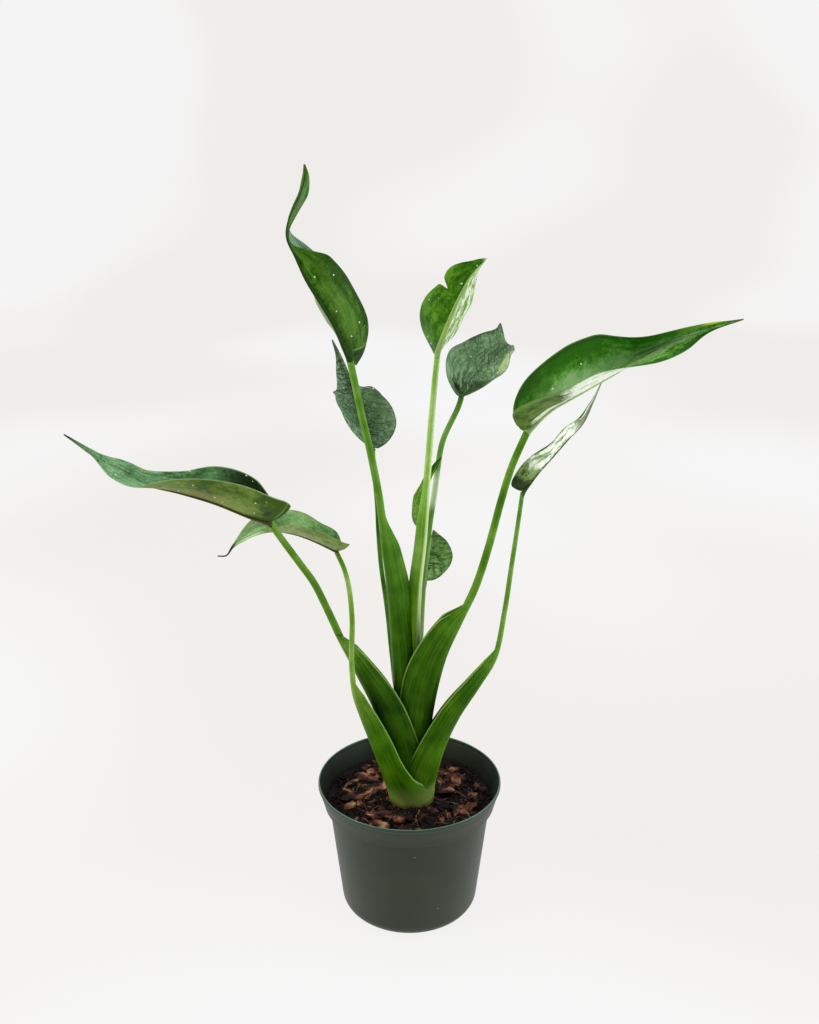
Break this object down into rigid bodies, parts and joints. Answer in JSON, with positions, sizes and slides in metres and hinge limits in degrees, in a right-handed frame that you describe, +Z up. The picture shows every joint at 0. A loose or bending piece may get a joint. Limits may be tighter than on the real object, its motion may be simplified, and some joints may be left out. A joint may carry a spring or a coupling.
{
  "type": "potted tiny dancer alocasia",
  "caption": "Small upright house plant with cup-folded, long-tipped leaves on tall sheathed stalks, in a round tapered nursery pot of potting mix.",
  "frame": {"origin": "centre of the pot's underside, on the surface it stands on", "axes": "+Z up, -Y towards the viewer of the picture, +X to the viewer's right"},
  "size_m": [0.475, 0.2331, 0.6213],
  "materials": {
    "pot_plastic": "satin dark green moulded plastic",
    "potting_mix": "damp dark mix of bark chips, fibre and peat",
    "leaf": "thick satin leaf, paler grey-green above",
    "young_leaf": "glossy fresh green leaf",
    "back_leaf": "satin grey-green leaf",
    "stalk": "smooth satin green stalk",
    "young_stalk": "smooth yellow-green stalk"
  },
  "bodies": {
    "root": {"pot": "pot_plastic", "soil": "potting_mix", "leaf_a_stalk": "stalk", "leaf_a_blade": "leaf", "leaf_b_stalk": "young_stalk", "leaf_b_blade": "young_leaf", "leaf_c_stalk": "stalk", "leaf_c_blade": "back_leaf", "leaf_d_stalk": "stalk", "leaf_d_blade": "back_leaf", "leaf_e_stalk": "stalk", "leaf_e_blade": "leaf", "leaf_f_stalk": "stalk", "leaf_f_blade": "back_leaf", "leaf_g_stalk": "stalk", "leaf_g_blade": "leaf", "leaf_h_stalk": "stalk", "leaf_h_blade": "leaf", "leaf_i_stalk": "stalk", "leaf_i_blade": "leaf", "leaf_j_stalk": "stalk", "leaf_j_blade": "leaf"}
  },
  "joints": []
}
